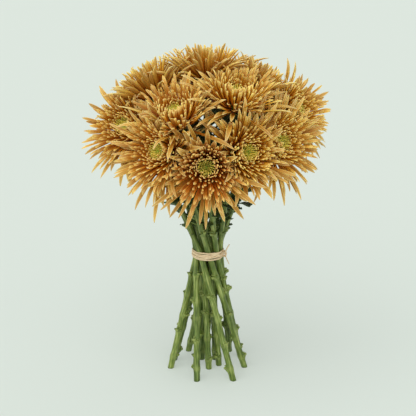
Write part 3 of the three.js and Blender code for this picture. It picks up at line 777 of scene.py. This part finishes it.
# The stubs. Where a leaf was torn off, the foot of its stalk stays behind, flattened and flared,
# with an ear at either side and a bud above it, all of the stem's own green.
TORN = model_petal("torn stalk", [
    (0, 3.2, 3, 0), (0.3, 2.5, 2.2, 0), (0.6, 2, 1.6, 0), (0.85, 2.1, 1.4, 0.2),
    (1, 1.6, 0.9, 0.4)])
EAR = model_petal("ear", [
    (0, 2.1, 1.9, 0), (0.5, 1.6, 1.3, 0.2), (0.85, 1, 0.8, 0), (1, 0.5, 0.4, 0)])
STUB_PARTS = (
    (TORN, 0, 0, 18, 0, 5.2), (EAR, -1.7, 0.6, 25, -44, 3.6), (EAR, 1.7, 0.2, 20, 44, 3.3),
    (EAR, 0.2, 2.4, 30, 4, 4))  # right, up, degrees up, degrees right, length
STUB_OUT = 1.6 * MM  # from the stem's middle to the root of a stub
STUB_BELOW = 2.6 * MM  # its tip
STUB_SIZES = (0.95, 1.2)
PALE_FROM, PALE_OVER, PALEST = 3.5 * MM, 4 * MM, 0.75  # how a stub pales towards its tip


def model_stub():
    """A stub that points along +Z, with +Y up the stem."""
    parts = []
    for model, right, up, lean, aside, long in STUB_PARTS:
        part = copy_of(model)
        part.data.transform(Matrix.Translation((right * MM, up * MM, STUB_OUT))
                            @ Matrix.Rotation(math.radians(aside), 4, "Y")
                            @ Matrix.Rotation(math.radians(-lean), 4, "X")
                            @ Matrix.Diagonal((1, 1, long * MM, 1)))
        parts.append(part)
    stub = join(parts, "stub")
    stub.data.materials.append(STEM_FINISH)
    note(stub, scar=np.clip((points_of(stub)[:, 2] - PALE_FROM) / PALE_OVER, 0, PALEST))
    return stub


STUB = model_stub()
for number in numbers:
    stem = stems[number]
    draw = random.Random(int(number) + 300)
    copies = []
    for k, out in stem["stubs"]:
        up = stem["headings"][k]
        right = np.cross(up, out)
        size = draw.uniform(*STUB_SIZES)
        place = Matrix((right * draw.choice((-1, 1)) * size, up * size, out * size))
        place = place.transposed().to_4x4()
        place.translation = stem["line"][k] - up * STUB_BELOW
        stub = copy_of(STUB)
        stub.data.transform(place)
        if place.determinant() < 0:
            stub.data.flip_normals()
        # A stub takes the painted shade of the blooms above from its place on the stem.
        note(stub, beside=draw.uniform(-1, 1), ahead=draw.uniform(-1, 1),
             upward=shade_under_blooms(stem, stem["at"][k]))
        copies.append(stub)
    stubs = join(copies, f"stem_stubs_{number}")
    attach(stubs, "root")
    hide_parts(f"stem_{number}")


# The cups. Under each head the stem widens to a green cup, shingled with three rows of small,
# pointed bracts whose tips are papery. They grew as one with it.
CUP_SIDES = 24
CUP = ((-11.9, 2.5), (-10.4, 3.2), (-8.7, 4.8), (-5.9, 7.2), (-3.9, 7.9), (-3.5, 6))  # up, radius
BRACT_ROWS = ((9, -10.2, 4.2, -6.4, 8.1, 0.2), (12, -8.2, 6, -3.6, 9.4, 0.5),
              (14, -6, 7.6, -1.6, 10.6, 0.8))  # how many, root up and out, tip up and out, age
BRACT_TURNS, BRACT_REACHES = (-0.15, 0.15), (0.95, 1.05)  # how they differ
BRACT_BULGE = 0.2 * MM
BRACT = model_petal("bract", [
    (0, 1.3, 0.4, 0.2), (0.4, 1.8, 0.4, 0.5), (0.75, 1.3, 0.35, 0.4), (1, 0.25, 0.2, 0)])


def bract_finish():
    finish, tree, shader = new_finish("bract")
    along, tint = noted(tree, "along"), noted(tree, "tint")
    colour = ramp(tree, along, [(0, (0.06, 0.11, 0.02)), (0.6, (0.13, 0.19, 0.04)),
                                (0.95, (0.3, 0.26, 0.12))])
    shade = ramp(tree, tint, [(0, (0.8, 0.8, 0.8)), (1, (1.15, 1.15, 1.1))])
    colour = blend(tree, 1, colour, shade, "MULTIPLY")
    feed(tree, shader, {"Base Color": colour, "Roughness": 0.6})
    return finish


BRACT_FINISH = bract_finish()
BRACT.data.materials.append(BRACT_FINISH)


def model_cup():
    """A solid cup that opens towards +Z, its sizes from the middle of the head."""
    cup = loft("cup", CUP_SIDES, [(up * MM, radius * MM, radius * MM) for up, radius in CUP])
    cup.data.materials.append(BRACT_FINISH)
    note(cup, along=0.2, tint=0.5)
    return cup


CUP_MODEL = model_cup()
for number in numbers:
    place, _ = heads[number]
    draw = random.Random(int(number) + 400)
    cup = copy_of(CUP_MODEL)
    cup.data.transform(place)
    copies = [cup]
    for row, (count, low, out, high, tip_out, age) in enumerate(BRACT_ROWS):
        for k in range(count):
            turn = math.tau * (k + 0.5 * row + draw.uniform(*BRACT_TURNS)) / count
            ray = ray_at(turn)
            root = (ray * out + [0, 0, low]) * MM
            tip = (ray * tip_out * draw.uniform(*BRACT_REACHES) + [0, 0, high]) * MM
            wide = root + (tip - root) * WIDEST + ray * BRACT_BULGE
            guide = {"root": root, "wide": wide, "tip": tip, "age": age}
            bract = lay(BRACT, "bract", guide, place, flare=0.05)
            note(bract, tint=draw.random())
            copies.append(bract)
    cup = join(copies, f"stem_cup_{number}")
    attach(cup, "root")
    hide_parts(f"stem_{number}")


# The leaves. Each stem keeps one of its upper leaves: a dark green blade, lobed and toothed,
# folded up along its pale rib, on a stalk of its own, that arches away from the stem. More of
# them stand round the stem above the tie, from tiny ones to full-grown ones under the bloom.
LEAF_LENGTH = 32 * MM
LEAF_HALF_WIDTH, STALK_HALF_WIDTH = 9 * MM, 0.8 * MM
LEAF_THICKNESS = 0.5 * MM
LEAF_RISE, LEAF_FALL = math.radians(35), math.radians(75)  # between leaf and stem, foot and tip
STALK = 0.26  # of the leaf's length
SHOULDER, POINT = 0.1, 0.12  # over which its blade widens at the stalk, and narrows at the tip
LOBES, LOBE_DEPTH = 3.5, 0.45
TEETH, TOOTH_DEPTH = 60, 0.1
FOLD, RIPPLES, RIPPLE = 0.25, 25, 0.08


def arch(share):
    """How far out from the stem, and how far up it, the leaf's rib is at a share of its length,
    and its angle there."""
    angle = LEAF_RISE + (LEAF_FALL - LEAF_RISE) * share
    bend = LEAF_LENGTH / (LEAF_FALL - LEAF_RISE)
    out, up = math.cos(LEAF_RISE) - np.cos(angle), np.sin(angle) - math.sin(LEAF_RISE)
    return bend * out, bend * up, angle


def model_leaf(columns, rows):
    """A flat leaf along +Y, its stalk at the origin, one long, its real width across."""
    bpy.ops.mesh.primitive_grid_add(x_subdivisions=columns, y_subdivisions=rows, size=2)
    leaf = bpy.context.object
    points = points_of(leaf)
    across, share = points[:, 0].copy(), (points[:, 1] + 1) / 2
    blade = np.clip((share - STALK) / SHOULDER, 0, 1) * np.clip((1 - share) / POINT, 0, 1) ** 0.7
    belly = np.sin(np.clip(math.pi * (share - 0.12) / 0.93, 0, math.pi))
    waves = np.abs(np.sin(math.pi * LOBES * (share - STALK) / (1 - STALK))) ** 0.6
    lobes = 1 - LOBE_DEPTH + LOBE_DEPTH * waves
    teeth = 1 + TOOTH_DEPTH * np.sin(TEETH * share)
    half = STALK_HALF_WIDTH + (LEAF_HALF_WIDTH - STALK_HALF_WIDTH) * blade * belly * lobes * teeth
    points[:, 0] = across * half
    points[:, 1] = share + 0.3 * half * np.abs(across) / LEAF_LENGTH * blade
    points[:, 2] = (FOLD + RIPPLE * np.sin(RIPPLES * share)) * half * np.abs(across)
    put_points(leaf, points)
    note(leaf, across=across, along=share, half=half / LEAF_HALF_WIDTH)
    solid = leaf.modifiers.new("thickness", "SOLIDIFY")
    solid.thickness = LEAF_THICKNESS
    solid.offset = 0
    bpy.ops.object.modifier_apply(modifier="thickness")
    bpy.ops.object.shade_smooth()
    leaf.select_set(False)
    return leaf


def leaf_finish():
    finish, tree, shader = new_finish("dark leaf")
    out = reckon(tree, "MULTIPLY", reckon(tree, "ABSOLUTE", noted(tree, "across")),
                 noted(tree, "half"))
    slope = reckon(tree, "MULTIPLY_ADD", out, -0.28, noted(tree, "along"))
    wave = reckon(tree, "SINE", reckon(tree, "MULTIPLY", slope, 46))
    veins = node(tree, "MapRange", {"Value": wave, "From Min": 0.86, "From Max": 1})
    rib = node(tree, "MapRange", {"Value": out, "From Min": 0.09, "From Max": 0.05})
    pale = reckon(tree, "MAXIMUM", veins.outputs[0], rib.outputs[0])
    green = ramp(tree, patched(tree, 120, 3), [(0.3, (0.022, 0.042, 0.008)),
                                               (0.7, (0.07, 0.11, 0.022))])
    colour = blend(tree, pale, green, (0.11, 0.17, 0.05))
    feed(tree, shader, {"Base Color": colour, "Normal": raised(tree, pale, 0.5, -0.3 * MM),
                        "Roughness": 0.55})
    return finish


LEAF = model_leaf(8, 44)
UPPER_LEAF = model_leaf(4, 16)
LEAF_FINISH = leaf_finish()
LEAF.data.materials.append(LEAF_FINISH)
UPPER_LEAF.data.materials.append(LEAF_FINISH)
TIP_OUT, TIP_UP, _ = arch(1)
UPPER_LEAVES = 22
UPPER_SIZES = (0.2, 1.3)  # from the first to the last, of the kept leaf's
SIZES_DIFFER = (0.8, 1.2)
FIRST_UPPER = 20 * MM  # above the waist
LAST_UPPER = 12 * MM  # below the end of the stem
STRAYS = 0.8  # how far a leaf may stand past its place, as a share of the way to the next


def lay_leaf(model, stem, k, out, size):
    """A copy of a leaf, arched away from a place on a stem."""
    heading = stem["headings"][k]
    side = np.cross(heading, out)
    leaf = copy_of(model)
    points = points_of(leaf)
    outward, upward, angle = arch(points[:, 1])
    outward = outward - points[:, 2] * np.cos(angle)
    upward = upward + points[:, 2] * np.sin(angle)
    points = points[:, :1] * side + outward[:, None] * out + upward[:, None] * heading
    put_points(leaf, stem["line"][k] + size * points)
    return leaf


for number in numbers:
    stem = stems[number]
    draw = random.Random(int(number) + 500)
    reaches = stem["leaf"] - stem["line"]
    ups = np.sum(reaches * stem["headings"], axis=1)
    outs = np.linalg.norm(reaches - ups[:, None] * stem["headings"], axis=1)
    k = np.argmin((ups - TIP_UP) ** 2 + (outs - TIP_OUT) ** 2)
    copies = [lay_leaf(LEAF, stem, k, square_to(reaches[k], stem["headings"][k]), 1)]
    lowest = stem["waist"] + FIRST_UPPER
    run = stem["at"][-1] - LAST_UPPER - lowest
    for count in range(UPPER_LEAVES):
        above = lowest + run * (count + draw.uniform(0, STRAYS)) / UPPER_LEAVES
        k = np.searchsorted(stem["at"], above)
        level = ray_at(count * GOLDEN_ANGLE + int(number))
        size = np.interp(count, (0, UPPER_LEAVES), UPPER_SIZES) * draw.uniform(*SIZES_DIFFER)
        copies.append(lay_leaf(UPPER_LEAF, stem, k, square_to(level, stem["headings"][k]), size))
    leaf = join(copies, f"stem_leaves_{number}")
    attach(leaf, "root")
    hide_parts(f"stem_{number}")


# The raffia. Dry strips of palm leaf, wound a few times round the waist and drawn tight over the
# stems, so that they cross and lie on each other. They are knotted at the right.
STRANDS = ((-3.3, 0.5, 0.4, 1.1), (-1.9, 0.8, 2.4, 0.9), (-0.7, 0.9, 4.2, 1.15),
           (0.6, 0.7, 5.3, 0.95), (1.7, 0.9, 1.4, 1.1),
           (3, 0.6, 3.3, 0.9))  # up, how far it sways, where it starts, half its width
STRAND_POINTS = 120
STRAND_SECTION = outline("strand section", [
    (-0.12, -1), (-0.2, -0.5), (-0.14, 0), (-0.2, 0.5), (-0.12, 1), (0.16, 0.8), (0.2, 0.3),
    (0.14, -0.2), (0.2, -0.7)])
LOWEST_LAYER, LAYER = 0.35, 0.16  # mm out from the stems, and from strand to strand
WAVER, WIDTH_WAVER = 0.25, 0.15  # of a strand's height, in mm, and of its width
FIBRE_LENGTH = 12 * MM
RAYS = 72  # round the tie
LEAST_COSINE = 0.3  # between two rays, for stems along one to hold a strand out along the other
KNOT_TURN = math.radians(-22)
KNOT_OUT = 18.4 * MM
KNOT_LOOPS = ((2.3, 3.2, 0.5), (1.7, 2.6, -0.7))  # how wide, high and askew, in mm
KNOT_HALF_WIDTH = 0.9
LOOSE_ENDS = ((20, 60), (150, -40))  # degrees from upright, and round from the knot's own turn
END_POINTS, END_HALF_WIDTHS = 14, (1.1, 0.7)
END_START, END_LENGTH, END_CURL = 1, 11, 2  # mm
tie_low, tie_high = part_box("raffia_tie")
tie_radius = (tie_high.y - tie_low.y) / 2
TIE_AXIS = np.array([tie_low.x + tie_radius, (tie_low.y + tie_high.y) / 2])


def taut(turns, heights):
    """How far from the tie's axis a strand lies that is drawn tight over the stems."""
    rays = np.linspace(0, math.tau, RAYS, endpoint=False)
    radii = []
    for turn, height in zip(turns, heights):
        reach = []
        for stem in stems.values():
            line = stem["line"]
            x, y = (np.interp(height, line[:, 2], line[:, k]) - TIE_AXIS[k] for k in (0, 1))
            reach.append(x * np.cos(rays) + y * np.sin(rays) + WAIST_RADIUS)
        cosines = np.cos(rays - turn)
        holds = cosines > LEAST_COSINE
        radii.append(np.min(np.max(reach, axis=0)[holds] / cosines[holds]))
    return np.array(radii)


def raffia_finish():
    finish, tree, shader = new_finish("raffia")
    fibres = streaked(tree, ("across", "along", "tint"), (5, 2, 30), 4)
    colour = ramp(tree, fibres, [(0.3, (0.46, 0.27, 0.12)), (0.5, (0.82, 0.62, 0.38)),
                                 (0.75, (0.95, 0.82, 0.58))])
    feed(tree, shader, {"Base Color": colour, "Normal": raised(tree, fibres, 0.6, 0.3 * MM),
                        "Roughness": 0.6})
    return finish


def strand(line, half_width, seed, closed=False, twist_mode="Z_UP"):
    """A strip of raffia along a line."""
    piece = sweep("strand", line, half_width * MM, STRAND_SECTION, closed, twist_mode)
    sides = len(piece.data.vertices) // len(line)
    steps = np.linalg.norm(np.diff(line, axis=0, prepend=line[:1]), axis=1)
    note(piece, across=np.tile(np.linspace(-1, 1, sides), len(line)),
         along=np.repeat(np.cumsum(steps) / FIBRE_LENGTH, sides), tint=seed)
    return piece


strips = []
turns = np.linspace(0, math.tau, STRAND_POINTS, endpoint=False)
for layer, (up, sway, start, half_width) in enumerate(STRANDS):
    waver = WAVER * np.sin(3 * turns + 2 * start)
    heights = TIE_MIDDLE + (up + sway * np.sin(turns + start) + waver) * MM
    radii = taut(turns, heights) + (LOWEST_LAYER + LAYER * (layer * 5 % len(STRANDS))) * MM
    line = np.stack([TIE_AXIS[0] + radii * np.cos(turns), TIE_AXIS[1] + radii * np.sin(turns),
                     heights], axis=1)
    half_widths = half_width * (1 + WIDTH_WAVER * np.sin(2 * turns + 3 * start))
    strips.append(strand(line, half_widths, layer / len(STRANDS), closed=True))
outwards = ray_at(KNOT_TURN)
sideways = np.array([-outwards[1], outwards[0], 0])
upwards = np.array([0, 0, 1])
knot = np.array([*TIE_AXIS, TIE_MIDDLE]) + outwards * KNOT_OUT
loop = turns[::5][:, None]
for k, (wide, high, askew) in enumerate(KNOT_LOOPS):
    around = (outwards * wide * np.cos(loop) + upwards * high * np.sin(loop)
              + sideways * askew * np.sin(loop))
    strips.append(strand(knot + around * MM, KNOT_HALF_WIDTH, 0.3 + 0.2 * k, closed=True,
                         twist_mode="MINIMUM"))
share = np.linspace(0, 1, END_POINTS)[:, None]
for k, (lean, turn) in enumerate(LOOSE_ENDS):
    lean, turn = math.radians(lean), math.radians(turn)
    level = outwards * math.cos(turn) + sideways * math.sin(turn)
    way = upwards * math.cos(lean) + level * math.sin(lean)
    line = knot + outwards * END_START * MM
    line = line + (way * END_LENGTH * share + outwards * END_CURL * share ** 2) * MM
    strips.append(strand(line, np.linspace(*END_HALF_WIDTHS, END_POINTS), 0.7 + 0.2 * k,
                         twist_mode="MINIMUM"))
raffia = join(strips, "raffia_strands")
raffia.data.materials.append(raffia_finish())
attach(raffia, "root")
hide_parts("raffia_tie")

# The models that the pieces were copied from aren't part of the bunch.
for model in (QUILL, SPOON, BLADE, STRAP, FLORET, HEAD, TORN, EAR, STUB, BRACT, CUP_MODEL, LEAF,
              UPPER_LEAF, STEM_SECTION, STRAND_SECTION):
    bpy.data.objects.remove(model)


# The floor is pale and plain, and runs on out of the picture. It glows a little, so that what
# shadow falls on it stays faint.
bpy.ops.mesh.primitive_plane_add(size=24)
floor = bpy.context.object
floor.name = "floor"
floor.data.materials.append(plain_finish("pale floor", {
    "Base Color": (0.41, 0.448, 0.415, 1), "Emission Color": (0.66, 0.722, 0.667, 1),
    "Emission Strength": 0.41, "Roughness": 0.9, "Specular IOR Level": 0.1}))


# The light is very soft, as for a catalogue picture. It comes from above and in front at the left,
# more weakly from in front at the right, and from a pale room all round.
def sun(name, place, strength, softness):
    """A very distant lamp at a place, seen from the origin, that is as wide as so many degrees."""
    light = bpy.data.lights.new(name, "SUN")
    light.energy = strength
    light.angle = math.radians(softness)
    lamp = add(name, light)
    lamp.rotation_euler = (-Vector(place)).to_track_quat("-Z", "Y").to_euler()


sun("key", (-0.9, -1.2, 2), 1.35, 70)
sun("fill", (1.2, -2, 1.1), 0.4, 80)

world = bpy.data.worlds.new("studio")
world.use_nodes = True
room = world.node_tree.nodes["Background"]
feed(world.node_tree, room, {"Color": (0.94, 0.96, 0.94, 1), "Strength": 0.74})
bpy.context.scene.world = world
bpy.context.scene.view_settings.view_transform = "Standard"

# The camera looks down on the bunch a little, from as far off as the photograph was taken.
LOOK_DOWN = math.radians(20)
DISTANCE = 1100 * MM
AIM_HEIGHT = 183 * MM
LENS, SENSOR = 90.66, 36
aim = Vector((*TIE_AXIS, AIM_HEIGHT))
camera = add("camera", bpy.data.cameras.new("camera"))
camera.data.lens = LENS
camera.data.sensor_width = SENSOR
back = Vector((0, -math.cos(LOOK_DOWN), math.sin(LOOK_DOWN)))
camera.location = aim + back * DISTANCE
camera.rotation_euler = (-back).to_track_quat("-Z", "Y").to_euler()
bpy.context.scene.camera = camera
